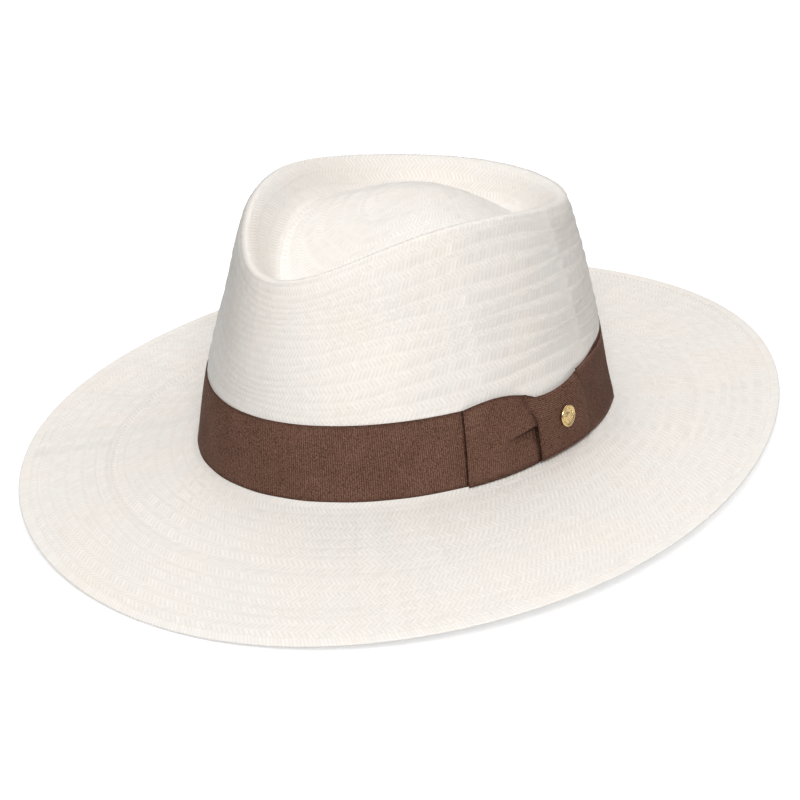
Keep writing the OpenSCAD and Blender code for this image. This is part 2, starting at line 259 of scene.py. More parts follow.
def run_of(path):
    """The length along a path, at each of its points."""
    return np.concatenate([[0], np.cumsum(np.linalg.norm(np.diff(path, axis=0), axis=1))])


def even_levels(s_from, s_to, count):
    """Levels with the same length of straw between them, measured on the wearer's left."""
    fine = np.linspace(s_from, s_to, 400)
    run = run_of(straw_point(np.full(len(fine), 100.0), fine))
    return np.interp(np.linspace(0, run[-1], count + 1), run, fine)


# ---------------------------------------------------------------- meshes


def ring_faces(lines, columns, flip=False):
    """Quads between lines of points that each close on themselves, facing cross(column step, line step)."""
    line = np.arange(lines - 1)[:, None]
    column = np.arange(columns)[None, :]
    following = (column + 1) % columns
    corners = [line * columns + column, line * columns + following]
    corners += [(line + 1) * columns + following, (line + 1) * columns + column]
    quads = stack(*corners).reshape(-1, 4)
    return (quads[:, ::-1] if flip else quads).tolist()


THREAD_SIDES = 6


class Build:
    """Collects points, faces and a tone for each point, from 0 in a hollow (painted shade) to 1 on a crest
    (painted light), for one mesh.
    """

    def __init__(self):
        self.points, self.tones, self.faces, self.count = [], [], [], 0

    def add(self, points, faces, tones=0.5):
        points = np.asarray(points, float).reshape(-1, 3)
        tones = np.asarray(tones, float).reshape(-1)
        self.points.append(points)
        self.tones.append(np.broadcast_to(tones, points.shape[:1]))
        self.faces += [[corner + self.count for corner in face] for face in faces]
        self.count += len(points)

    def ring_grid(self, points, tones=0.5, flip=False):
        """A skin over lines of points that each close on themselves."""
        self.add(points, ring_faces(*points.shape[:2], flip), tones)

    def piece(self, name, material, stands_for, body="hat"):
        """Makes the piece, which rides on a body of the frame and replaces one CAD part."""
        mesh = bpy.data.meshes.new(name)
        mesh.from_pydata((np.concatenate(self.points) * MM).tolist(), [], self.faces)
        mesh.polygons.foreach_set("use_smooth", np.ones(len(mesh.polygons), bool))
        tone = mesh.attributes.new("tone", "FLOAT", "POINT")
        tone.data.foreach_set("value", np.concatenate(self.tones).astype(np.float32))
        mesh.materials.append(material)
        mesh.validate()
        obj = bpy.data.objects.new(name, mesh)
        bpy.context.scene.collection.objects.link(obj)
        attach(obj, body)
        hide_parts(stands_for)


def cloth(build, points, thick, lift, tones, closed=False):
    """A layer of cloth: its outer face is points pushed out by lift, its inner face is thick behind them."""
    u_step = np.gradient(points, axis=0)
    if closed:
        u_step = np.roll(points, -1, axis=0) - np.roll(points, 1, axis=0)
    v_step = np.gradient(points, axis=1)
    out = unit(np.cross(u_step, v_step))
    outer = points + out * np.asarray(lift)[..., None]
    inner = points - out * thick
    bulge = thick * 0.4
    low = (outer[:, :1] + inner[:, :1]) / 2 - unit(v_step[:, :1]) * bulge
    high = (outer[:, -1:] + inner[:, -1:]) / 2 + unit(v_step[:, -1:]) * bulge
    section = np.concatenate([outer, high, inner[:, ::-1], low], axis=1)
    tone = np.broadcast_to(np.asarray(tones, float), points.shape[:2])
    section_tone = np.concatenate([tone, tone[:, -1:], tone[:, ::-1], tone[:, :1]], axis=1)
    rows, columns = section.shape[:2]
    if closed:
        section = np.concatenate([section, section[:1]])
        section_tone = np.concatenate([section_tone, section_tone[:1]])
        rows += 1
    faces = ring_faces(rows, columns, flip=True)
    if not closed:
        last = (rows - 1) * columns
        faces.append(list(range(columns)))
        faces.append([last + i for i in reversed(range(columns))])
    build.add(section, faces, section_tone)


def ribs(count_u, count_v, depth=RIB_DEPTH):
    """Lift and tone of a ribbed ribbon on a grid, with a rib to every few steps of u; the tone is painted
    shade in the grooves and painted light on the crests.
    """
    wave = 0.5 - 0.5 * np.cos(2 * np.pi * np.arange(count_u)[:, None] / RIB_STEPS)
    wave = np.broadcast_to(wave, (count_u, count_v))
    # Painted shade: the grooves get a low tone and the crests full tone.
    groove_shade_tone = 0.25
    return wave * depth, mix(groove_shade_tone, 1, wave)


def tube(build, path, radius, sides=THREAD_SIDES, closed=False, tones=0.5):
    """A round thread along a path of points."""
    along = np.roll(path, -1, axis=0) - np.roll(path, 1, axis=0) if closed else np.gradient(path, axis=0)
    along = unit(along)
    steep = np.abs(along[:, 2:]) > 0.9
    helper = np.where(steep, np.array([1.0, 0, 0]), np.array([0, 0, 1.0]))
    across = unit(np.cross(along, helper))
    up = np.cross(across, along)
    turn = circle(sides)
    size = np.broadcast_to(np.asarray(radius, float), path.shape[:1])[:, None, None]
    ring = across[:, None] * np.cos(turn)[:, None] + up[:, None] * np.sin(turn)[:, None]
    points = path[:, None] + ring * size
    if closed:
        points = np.concatenate([points, points[:1]])
    faces = ring_faces(len(points), sides)
    if not closed:
        last = (len(points) - 1) * sides
        faces.append(list(reversed(range(sides))))
        faces.append([last + i for i in range(sides)])
    build.add(points, faces, tones)


# ---------------------------------------------------------------- straw weave

# The relief's depth at a few levels: low enough to stay under the ribbon, and full on the side above it.
DEPTH_LEVELS = (1.34, 1.40, 1.95, 2.05, 2.93, 2.95)
WEAVE_DEPTHS = (0.5, 0.7, 0.7, 0.4, 0.4, 0.1)
SLANT = 1.1
LONG_SHARE, LONG_FROM = 0.22, 25.0
SUB_ROWS = (0.0, 0.24, 0.76)
RAISED, RAISED_MORE, AT_JOIN, SUNK = 0.65, 0.45, -0.1, -0.6
CROWN_JOIN, INSIDE_TONE = 1.02, 0.45


def meander(a, level):
    """How far the rows wander up and down round the hat, in rows."""
    return 0.35 * sind(a * 3 + 25 * level) + 0.2 * sind(a * 7 - 40 * level)


def woven_zone(build, levels, dashes, parity=0):
    """Rows of slanting straws between levels: the slant turns over from row to row, as in a herringbone, and
    the straws of one row lie against the gaps of the next. On each flank the rows of one slant are longer."""
    rows = len(levels) - 1
    lines = [(row, v) for row in range(rows) for v in SUB_ROWS] + [(rows - 1, 1.0)]
    row_of = np.array([row for row, _ in lines])
    v = np.array([share for _, share in lines])
    level = (row_of + v)[:, None]
    slant = np.where((row_of + parity) % 2 == 0, 1, -1)[:, None]
    swing = slant * (v - 0.5)[:, None]
    column = np.arange(2 * dashes)[None, :]
    uneven = rng.normal(0, 0.05, column.shape)
    a = 360 / dashes * (column / 2 + SLANT * swing + uneven)
    from_ends = smooth_step(np.minimum(level, rows - level) / 3)
    longer = LONG_SHARE * sind(a - LONG_FROM) * slant * np.minimum(1, from_ends * 4)
    drift = meander(a, level) * from_ends + longer * (2 * v[:, None] - 1)
    s = np.interp(level, np.arange(rows + 1), levels)
    s_wavy = np.interp(level + drift, np.arange(rows + 1), levels)
    depth = np.interp(s, DEPTH_LEVELS, WEAVE_DEPTHS)
    straw = rng.random((rows + 1, dashes))
    straw_tone = straw[row_of][:, column[0] // 2]
    at_join = ((v == 0) | (v == 1))[:, None]
    raised = ((column + row_of[:, None]) % 2 == 1) & ~at_join
    height = depth * np.where(raised, RAISED + RAISED_MORE * straw_tone, np.where(at_join, AT_JOIN, SUNK))
    height = height * np.minimum(1, 1 + 2 * longer)
    # Painted shade: the gaps between raised straws get a dark tone and the joins a middle one; the raised
    # straws' own tone differs at random.
    tone = np.where(raised, 0.6 + 0.4 * straw_tone, np.where(at_join, 0.5, 0.22))
    points = straw_point(a, s_wavy) + straw_normal(a, s + 0 * a) * height[..., None]
    build.ring_grid(points, tone)


def zone_backing(build, s_join):
    """A smooth strip behind the join of two zones, since their straws don't end at the same points."""
    reach, sunk = 0.012, 0.35
    levels = s_join + np.linspace(-reach, reach, 5)[:, None]
    a, s = np.broadcast_arrays(np.arange(360)[None, :] * 1.0, levels)
    build.ring_grid(straw_point(a, s) - straw_normal(a, s) * sunk, 0.7)


def make_straw_brim(material):
    """The brim with its binding, the smooth straw that the band hides, and the brim's underside."""
    build = Build()
    rim_s, half_s, woven_end = 0.058, 0.5, 0.985
    zone_backing(build, half_s)
    woven_zone(build, even_levels(half_s, woven_end, 13), 310)
    woven_zone(build, even_levels(rim_s, half_s, 12), 410, parity=1)
    edge_binding(build, rim_s)
    around = np.arange(240)[None, :] * 1.5
    for s_from, s_to, steps in [(woven_end, CROWN_JOIN, 4), (CROWN_JOIN, DEPTH_LEVELS[0], 10)]:
        levels = np.linspace(s_from, s_to, steps + 1)[:, None]
        build.ring_grid(straw_point(around, levels), 0.4)
    levels = np.linspace(0.01, 1.3, 40)[:, None]
    a, s = np.broadcast_arrays(around, levels)
    thick = mix(RIM_THICK, STRAW_THICK, smooth_step(s / 0.12))[..., None]
    build.ring_grid(straw_point(a, s) - straw_normal(a, s) * thick, INSIDE_TONE, flip=True)
    build.piece("straw_brim", material, "straw_body")


def edge_binding(build, rim_s):
    """The finished edge: straws turned back over the rim as a narrow cord of slanting wraps."""
    wraps, slant, crest, groove = 640, 0.9, 0.07, -0.04
    column = np.arange(2 * wraps)
    is_wrap = column % 2 == 1
    radius = RIM_THICK / 2
    lines, tones = [], []
    grain = rng.random(wraps)[column // 2]
    raised = np.where(is_wrap, crest, groove)
    for share in (1.0, 0.82, 0.45, 0.12):
        a = 360 / wraps * (column / 2 + slant * (1 - share))
        s = np.full(a.shape, rim_s * share)
        # Painted shade: the line where the binding sinks under the woven straw is darkened, and the grooves
        # between wraps get a darker tone than the wraps.
        sunk, shade = (-0.06, 0.75) if share == 1 else (0, 1)
        lines.append(straw_point(a, s) + straw_normal(a, s) * (raised + sunk)[:, None])
        tones.append(np.where(is_wrap, 0.55 + 0.4 * grain, 0.36) * shade)
    a = 360 / wraps * (column / 2 + slant)
    edge = straw_point(a, 0)
    normal = straw_normal(a, 0.02)
    outward = unit(np.cross(straw_point(a + 0.5, 0) - straw_point(a - 0.5, 0), normal))
    outward *= np.sign(np.sum(outward * edge, axis=-1, keepdims=True))
    centre = edge - normal * radius - outward * radius
    for angle in np.radians((90, 45, 0, -45, -90)):
        ring = outward * math.cos(angle) + normal * math.sin(angle)
        lines.append(centre + ring * (radius + raised * 0.7)[:, None])
        # Painted shade in the grooves between the wraps round the rim.
        tones.append(np.where(is_wrap, 0.65 + 0.35 * grain, 0.5))
    build.ring_grid(np.array(lines), np.array(tones), flip=True)


def make_straw_crown(material):
    """The crown, woven in zones with fewer straws towards the dome's top, and its smooth inside."""
    build = Build()
    joins = (1.2, 2.0, 2.5, 2.8, 2.95, 3.0)
    for s_join in joins[1:-1]:
        zone_backing(build, s_join)
    zones = [(25, 272), (7, 216), (9, 124), (5, 56), (2, 18)]
    for s_from, s_to, (rows, dashes) in zip(joins, joins[1:], zones):
        woven_zone(build, even_levels(s_from, s_to, rows), dashes)
    around = np.arange(180)[None, :] * 2.0
    levels = np.concatenate([np.linspace(CROWN_JOIN, 2.0, 26), np.linspace(2.03, 2.998, 26)])[:, None]
    a, s = np.broadcast_arrays(around, levels)
    build.ring_grid(straw_point(a, s) - straw_normal(a, s) * STRAW_THICK, INSIDE_TONE, flip=True)
    build.piece("straw_crown", material, "straw_body")


def make_edge_stitching(material):
    """A line of small stitches that holds the turned edge down."""
    build = Build()
    count, steps, stitch_s, radius = 260, 7, 0.05, 0.15
    arch = np.sin(np.linspace(0, math.pi, steps))
    height = -0.1 + 0.2 * arch
    for i in range(count):
        a = (i + np.linspace(0.08, 0.92, steps)) * 360 / count
        path = straw_point(a, stitch_s) + straw_normal(a, stitch_s) * height[:, None]
        # Painted light on the top of each stitch's arch, painted shade at its ends in the straw.
        tube(build, path, radius, tones=0.4 + 0.5 * arch.repeat(THREAD_SIDES))
    build.piece("brim_edge_stitching", material, "brim_edge_thread")


# ---------------------------------------------------------------- ribbon band and bow


def hanging(a, z, out):
    """A point off the crown's side for an outer layer, which hangs straighter than the flare of the break."""
    flare_end, straightness = 6.0, 0.6
    flare = BREAK_ROUND**2 / np.maximum(z, BREAK_ROUND) - BREAK_ROUND**2 / flare_end
    return off_side(a, z, out - straightness * np.maximum(flare, 0))


def knot_front(z):
    """How far the knot's front stands off the crown: full below, rounding in to the crown above."""
    rise = np.clip((z - (KNOT_TOP - KNOT_SHOULDER)) / KNOT_SHOULDER, 0, 1)
    top_stand, full_stand = 0.2, KNOT_STAND - 0.35 - FOLD_IN
    return FOLD_IN + top_stand + full_stand * (1 - rise**2) ** 0.5


def rib_steps(length):
    """The number of steps, a few to each rib, in a length of ribbon."""
    return int(length / RIB_PITCH) * RIB_STEPS


def along_the_band(a_from, a_to):
    """Angles with even spacing along the ribbon, a few to each rib."""
    fine = np.linspace(a_from, a_to, 500)
    run = run_of(off_side(fine, RIBBON_HEIGHT / 2, BAND_OUT))
    return np.interp(np.linspace(0, run[-1], rib_steps(run[-1]) + 1), run, fine)


def selvedge(v):
    """1 in the middle of the ribbon, falling to 0 on its two bound edges."""
    return smooth_step(np.minimum(v, 1 - v) / 0.05)


def make_hat_band(material):
    """The band, from under the rear tail all the way round to under the front loop."""
    build = Build()
    a = along_the_band(KNOT_END + 0.5, BOW_START + 362)
    v = np.array([0, 0.02, 0.05, 0.2, 0.4, 0.6, 0.8, 0.95, 0.98, 1.0])
    lift, tone = ribs(len(a), len(v))
    edge = selvedge(v)[None, :]
    grid_a, grid_v = np.meshgrid(a, v, indexing="ij")
    ripple = 0.10 * sind(grid_a * 11) * sind(180 * grid_v) + 0.06 * sind(grid_a * 23 + 50)
    flare_share, sunk, selvedge_lift = 0.15, 0.25, 0.05
    flare = RIBBON_FLARE * smooth_step(1 - grid_v / flare_share)
    top_ease, ease_angle = 2.2, 16
    top = RIBBON_HEIGHT - top_ease * (1 - smooth_step((grid_a - a[0]) / ease_angle))
    z = mix(RIBBON_LOW, top, grid_v)
    points = hanging(grid_a, z, BAND_OUT - sunk + ripple + flare)
    # Painted shadow on the band where it runs under the loop's front fold.
    past_fold = grid_a - 360 - BOW_START - FOLD_LEAN * grid_v
    painted_shade_under_fold = 0.85 * smooth_step((past_fold + 0.9) / 0.6)
    tone = mix(EDGE_TONE, tone, edge) * (1 - painted_shade_under_fold)
    cloth(build, points, CLOTH_THICK, mix(selvedge_lift, lift, edge), tone)
    build.piece("ribbon_band", material, "hat_band")


def knot_sides(z):
    """The angles where the knot's two side edges stand: its top leans towards the front."""
    upright, front_lean, rear_lean = 18, 3.0, 1.5
    leaning = smooth_step((z - upright) / (KNOT_TOP - upright))
    return KNOT_START - front_lean * leaning, KNOT_END - rear_lean * leaning


def pleat_line(t):
    """The height of the loop's fold, as a share of the ribbon; t is 0 at the front fold and 1 at the knot."""
    return 0.46 + 0.09 * smooth_step((t - 0.5) / 0.4)


def pleat(t, v):
    """How far the loop's upper lobe overlaps the lower one: a fold that deepens towards the knot."""
    line = pleat_line(t)
    depth = smooth_step((t - PLEAT_FROM) / 0.45)
    edge = 0.03
    over = smooth_step((v - line) / edge + 0.5)
    lobe = over * bell(np.maximum(v - line - edge, 0), 0.30)
    lobe_height = mix(1.5, 0.6, smooth_step((t - 0.7) / 0.2))
    valley = (1 - over) * bell(v - line, 0.16)
    valley_depth = 3.0
    return depth * (lobe_height * lobe - valley_depth * valley)


def pleat_shade(t, v):
    """Painted shade inside the fold: deepest just under the upper lobe's edge, wider near the knot."""
    below = pleat_line(t) - v
    reach = mix(0.05, 0.14, smooth_step((t - 0.6) / 0.3))
    return smooth_step((t - PLEAT_FROM) / 0.3) * np.where(below > 0, np.exp(-np.abs(below) / reach), 0)


def loop_puff(t, v):
    """How far the loop's outer side swells out: half way along it, and again where the knot gathers it."""
    swell = np.sin(np.pi * v) ** 0.6
    half_way, at_knot = 1.3, 0.9
    return (half_way * np.sin(np.pi * np.minimum(1, t * 1.1)) + at_knot * t**2) * swell


def loop_top(t):
    """Height of the loop's upper edge: it rises from the fold, then falls to the knot."""
    rise, fall = 2.1, 4.6
    return RIBBON_HEIGHT + 0.4 - (fall * t**4 - rise * np.sin(np.pi * t) * np.sqrt(1 - t))


def make_front_loop(material):
    """One ribbon doubled back in a U: out from the knot, round the front fold, and back under itself.

    The steps run from 1 to 0 on the outer side, to -1 round the fold, and to -2 on the inner side.
    """
    build = Build()
    loop_end = KNOT_START + 2
    outer_run = run_of(off_side(np.linspace(BOW_START, loop_end, 90), RIBBON_HEIGHT / 2, FOLD_OUT))
    per_side = rib_steps(outer_run[-1])
    outer, fold = np.linspace(1, 0, per_side), np.linspace(-0.125, -0.875, 7)
    steps = np.concatenate([outer, fold, np.linspace(-1, -2, per_side // 2)])[:, None]
    v = np.linspace(0, 1, 61)[None, :]
    is_outer = steps >= 0
    t = np.where(is_outer, steps, np.maximum(-1 - steps, 0))
    turn = np.clip(-steps, 0, 1) * math.pi
    fold_radius, fold_bulge = 0.5, 0.35
    middle = FOLD_IN + RIBBON_THICK / 2 + fold_radius
    inner_rise = 0.2
    out = middle + fold_radius * np.cos(turn) + np.where(is_outer, loop_puff(t, v), inner_rise * t)
    a = mix(BOW_START + FOLD_LEAN * v, loop_end, t) - np.sin(turn) * fold_bulge
    z = mix(RIBBON_LOW + GATHER * t**3, loop_top(t), v)
    a, z, out = np.broadcast_arrays(a, z, out)
    tuck, free = 1.4, 3.5 * (1 - smooth_step((t - 0.68) / 0.2))
    under_knot = knot_front(z) - tuck + free
    out = np.minimum(out, under_knot) + np.where(is_outer, pleat(t, v), 0.0)
    points = hanging(a, z, out)
    lift, tone = ribs(*a.shape)
    edge = selvedge(v)
    shade_width, shade_low, shade_high, pleat_dark, painted_light_gain = 1.6, 0.85, 0.4, 0.95, 1.12
    # Painted shade on the loop beside the knot's front edge, stronger low down.
    painted_shade_by_knot = smooth_step((a - knot_sides(z)[0] + shade_width) / shade_width)
    painted_shade_by_knot = painted_shade_by_knot * mix(shade_low, shade_high, smooth_step(v))
    # Painted shade in the fold and beside the knot; the whole loop's tone is also raised a little as painted
    # light.
    tone = painted_light_gain * mix(EDGE_TONE, tone, edge) * (1 - pleat_dark * pleat_shade(t, v)) * (1 - painted_shade_by_knot)
    cloth(build, points[::-1], CLOTH_THICK, (lift * edge)[::-1], tone[::-1])
    build.piece("ribbon_front_loop", material, "bow_front_loop")


def make_rear_tail(material):
    """The ribbon's cut end, which comes out behind the knot and stands off the band a little below."""
    build = Build()
    a = along_the_band(KNOT_END - 1.5, TAIL_END)
    t = ((a - a[0]) / (a[-1] - a[0]))[:, None]
    v = np.linspace(0, 1, 25)[None, :]
    near = 1 - smooth_step(t / 0.3)
    crest, hollow = 0.6 * bell(v - 0.55, 0.14), 0.3 * bell(v - 0.4, 0.1)
    flare = (1.0 + 0.3 * smooth_step((t - 0.8) / 0.2)) * bell(v, 0.35)
    sunk, rise = 0.45, 0.8
    out = FOLD_IN + RIBBON_THICK - sunk + rise * near + near * (crest - hollow) + flare
    top_drop, near_drop = 1.4, 0.6
    z = mix(RIBBON_LOW + GATHER * near, RIBBON_HEIGHT - top_drop - near_drop * near, v)
    grid_a, z, out = np.broadcast_arrays(a[:, None], z, out)
    points = hanging(grid_a, z, out)
    lift, tone = ribs(*grid_a.shape)
    edge = selvedge(v)
    # Painted shade: the tail's ribbed middle is darkened overall, and more so beside the knot's rear edge;
    # its two edges keep full tone.
    knot_dark, shade_width, darker = 0.6, 1.5, 0.75
    painted_shade_by_knot = knot_dark * (1 - smooth_step((grid_a - knot_sides(z)[1]) / shade_width))
    tone = mix(1.0, darker * tone, edge) * (1 - painted_shade_by_knot)
    cloth(build, points, CLOTH_THICK, lift * edge, tone)
    build.piece("ribbon_rear_tail", material, "bow_rear_tail")


def knot_section():
    """Heights and offsets round the knot's strip: up its front, over the shoulder, and down its back."""
    foot = 0.5
    low = RIBBON_LOW + GATHER - 0.2 + foot
    front, back = knot_front(low), FOLD_IN + 0.1
    middle, half = (front + back) / 2, (front - back) / 2
    straight = np.linspace(low, KNOT_TOP - KNOT_SHOULDER, 60)
    shoulder = KNOT_TOP - KNOT_SHOULDER * (1 - np.sin(np.linspace(0, np.pi / 2, 60)[1:]))
    rise = np.concatenate([straight, shoulder])
    down = np.linspace(KNOT_TOP, low, 40)[1:]
    under = np.linspace(0, np.pi, 12)[1:-1]
    z = np.concatenate([rise, down, low - foot * np.sin(under)])
    out = np.concatenate([knot_front(rise), np.full(len(down), back), middle - half * np.cos(under)])
    run = run_of(stack(z, out))
    even = np.linspace(0, run[-1], rib_steps(run[-1]), endpoint=False)
    return np.interp(even, run, z), np.interp(even, run, out)


def make_knot(material):
    """A strip wrapped upright round the bow's waist; its ribs lie level."""
    build = Build()
    z, out = (values[:, None] for values in knot_section())
    t = np.linspace(0, 1, 33)[None, :]
    outward = (out - FOLD_IN) / (KNOT_STAND - FOLD_IN)
    curl = -0.25 * np.abs(2 * t - 1) ** 6 * outward
    wave = 0.10 * np.sin(6 * t + 0.5 + 0.15 * z) * outward
    sag = KNOT_SAG * np.sin(np.pi * t) ** 0.8 * np.clip(z / KNOT_TOP, 0, 1) ** 3
    grid_a = mix(*knot_sides(z), t)
    grid_a, grid_z = np.broadcast_arrays(grid_a, z - sag)
    points = hanging(grid_a, grid_z, out + curl + wave)
    lift, tone = ribs(*grid_a.shape, 0.08)
    edge = selvedge(t)
    tone = mix(EDGE_TONE, tone, edge)
    cloth(build, points[::-1], CLOTH_THICK, (lift * edge)[::-1], tone[::-1], closed=True)
    build.piece("ribbon_knot", material, "bow_knot")


def staple(build, a, z, out):
    """A stitch that rises out of the cloth, lies over it and goes back in."""
    length, radius = 2.4, 0.16
    share = np.linspace(-1, 1, 9)
    arch = np.sqrt(1 - share**2)
    path = off_side(a, z + share * length / 2, out - 0.25 + 0.45 * arch)
    # Painted light on the top of the stitch's arch, painted shade at its ends in the cloth.
    tube(build, path, radius, tones=0.3 + 0.5 * arch.repeat(THREAD_SIDES))


def make_tacks(material):
    """The stitches that hold the band on the straw, and those at the two ends of the bow."""
    band = Build()
    inset = 2.6
    for a in (20, 150, 210, 250, 290, 330):
        for z in (BAND_LOW + inset, RIBBON_HEIGHT - inset):
            staple(band, a, z, BAND_OUT)
    band.piece("ribbon_band_tacks", material, "band_tacks")
    bow = Build()
    inset = 4.0
    for z in (BAND_LOW + inset, RIBBON_HEIGHT - inset):
        staple(bow, BOW_START + 1, z, FOLD_OUT + 0.25)
        staple(bow, TAIL_END - 1, z, FOLD_IN + RIBBON_THICK - 0.5)
    bow.piece("ribbon_bow_tacks", material, "bow_tacks")


# ---------------------------------------------------------------- stud


def make_stud(material):
    """A small gold-coloured button: rolled rim, ring of beads, and a fluted boss in the middle."""
    build = Build()
    low, high = box_mm("stud_disc")
    axis = Vector(frame["joints"][0]["axis"])
    radius = max(high[1] - low[1], high[2] - low[2]) / 2
    thick, ground = 1.2, 0.6
    rim = [(-0.25, 0.0), (0.0, 0.22), (0.0, 0.75), (-0.18, 1.08), (-0.5, thick), (-0.85, 1.06), (-1.0, 0.74)]
    boss = [(2.55, ground), (2.3, 0.72), (2.1, ground), (1.75, 0.58), (1.6, 0.86), (1.3, 1.02), (0.7, 1.08)]
    profile = [(0.0, 0.0)] + [(radius + r, z) for r, z in rim + [(-1.25, 0.62)]] + boss + [(0.0, 1.1)]
    r, z = (np.array(values)[:, None] for values in zip(*profile))
    turn = circle(96)
    flutes, boss_edge = 10, 1.3
    fluted = bell(r - boss_edge, 0.45) * (z > 0.8)
    r_wavy = np.maximum(r, 0.01) * (1 + 0.07 * fluted * np.cos(flutes * turn))
    build.ring_grid(stack(r_wavy * np.cos(turn), r_wavy * np.sin(turn), z))
    bead, bead_ring = 0.3, 3.15
    ring, lift = circle(10), np.radians([0, 25, 50, 72, 89])[:, None]
    ball = stack(np.cos(lift) * np.cos(ring), np.cos(lift) * np.sin(ring), np.sin(lift))
    for angle in circle(22):
        centre = np.array([bead_ring * math.cos(angle), bead_ring * math.sin(angle), ground])
        build.ring_grid(centre + ball * bead, 0.8)
    to_frame = np.array(axis.to_track_quat("Z", "Y").to_matrix())
    base = (low + high) / 2 - np.array(axis) * thick / 2
    build.points = [points @ to_frame.T + base for points in build.points]
    build.piece("stud_button", material, "stud_disc", body="stud")


# ---------------------------------------------------------------- sweatband


def make_sweatband(material):
    """The leather strip against the head, a little wavy towards its free upper edge."""
    build = Build()
    a = np.arange(360) * 1.0
    v = np.linspace(0, 1, 15)
    grid_a, grid_v = np.meshgrid(a, v, indexing="ij")
    wave = (0.25 * sind(grid_a * 5 + 20) + 0.15 * sind(grid_a * 13)) * grid_v**2
    z = mix(LEATHER_LOW, LEATHER_HIGH, grid_v) + 0.25 * sind(grid_a * 4) * grid_v
    points = off_side(grid_a, z, LEATHER_FACE + 0.05 + wave * 0.4)
    cloth(build, points[::-1], -SWEAT_THICK * 0.9, 0.0, 0.5, closed=True)
    build.piece("sweatband_leather", material, "sweatband")


def make_sweatband_cord(material):
    """The rolled lower edge of the leather."""
    build = Build()
    a = np.arange(360) * 1.0
    radius = CORD_D / 2 - 0.1
    path = off_side(a, SWEAT_LOW + radius, INSIDE_FACE - radius)
    tube(build, path, radius + 0.05 * sind(90 * a), sides=10, closed=True)
    build.piece("sweatband_roll", material, "sweatband_cord")


def make_sweatband_stitches(material):
    """A row of stitches round the leather, just above the roll."""
    build = Build()
    count, reach, radius = 132, 0.9, 0.22
    share = np.linspace(-1, 1, 7)
    arch = np.sqrt(1 - share**2)
    for i in range(count):
        a = (i + 0.5) * 360 / count + share * reach
        path = off_side(a, LEATHER_LOW + 2.5, LEATHER_FACE + 0.15 - 0.4 * arch)
        # Painted light on the top of each stitch's arch, painted shade at its ends in the leather.
        tube(build, path, radius, tones=0.3 + 0.6 * arch.repeat(THREAD_SIDES))
    build.piece("sweatband_stitching", material, "sweatband_stitches")


def inner_strip(build, a_from, a_to, z_from, z_to, face, thick, puff=0.0, pitch=0.8):
    """A narrow ribbon lying on the leather, facing the head."""
    mm_per_degree = 1.6
    steps = max(9, int((a_to - a_from) * mm_per_degree / pitch) * RIB_STEPS + 1)
    a = np.linspace(a_from, a_to, steps)
    v = np.linspace(0, 1, 9)
    grid_a, grid_v = np.meshgrid(a, v, indexing="ij")
    t = (grid_a - a_from) / (a_to - a_from)
    out = face - puff * np.sin(np.pi * t) * np.sin(np.pi * grid_v)
    points = off_side(grid_a, mix(z_from, z_to, grid_v), out)
    lift, tone = ribs(steps, len(v), 0.06)
    cloth(build, points[::-1], thick, lift[::-1], tone[::-1])


def make_inside_trims(leather, ribbon, cloth_material):
    """On the leather at the back: the tape over its seam, a small ribbon bow, and a blank cloth tab."""
    tape = Build()
    face = LEATHER_FACE - LAYER_GAP
    inner_strip(tape, 177, 183, LEATHER_LOW + 4, LEATHER_HIGH - 2, face - 0.4, 0.35)
    tape.piece("sweatband_tape", leather, "sweatband_seam_tape")
    bow = Build()
    level, bow_face = LEATHER_LOW + 9, LEATHER_FACE - 1.8
    for side in (-1, 1):
        middle = 180 + side * 4.25
        inner_strip(bow, middle - 3.2, middle + 3.2, level - 2.4, level + 2.4, bow_face, 0.4, puff=1.0)
    inner_strip(bow, 179.1, 180.9, level - 1.8, level + 1.8, bow_face - 0.8, 0.5, puff=0.4)
    bow.piece("sweatband_ribbon_bow", ribbon, "sweatband_bow")
    tab = Build()
    inner_strip(tab, 194, 199, LEATHER_LOW + 6, LEATHER_LOW + 18, face - 0.3, 0.3, pitch=0.5)
    tab.piece("sweatband_blank_tab", cloth_material, "size_tab")


# ---------------------------------------------------------------- materials


def srgb(r, g, b):
    """A colour given as 0 to 255 screen values, in linear light."""
    def linear(c):
        c = c / 255
        return c / 12.92 if c <= 0.04045 else ((c + 0.055) / 1.055) ** 2.4
    return (linear(r), linear(g), linear(b), 1.0)


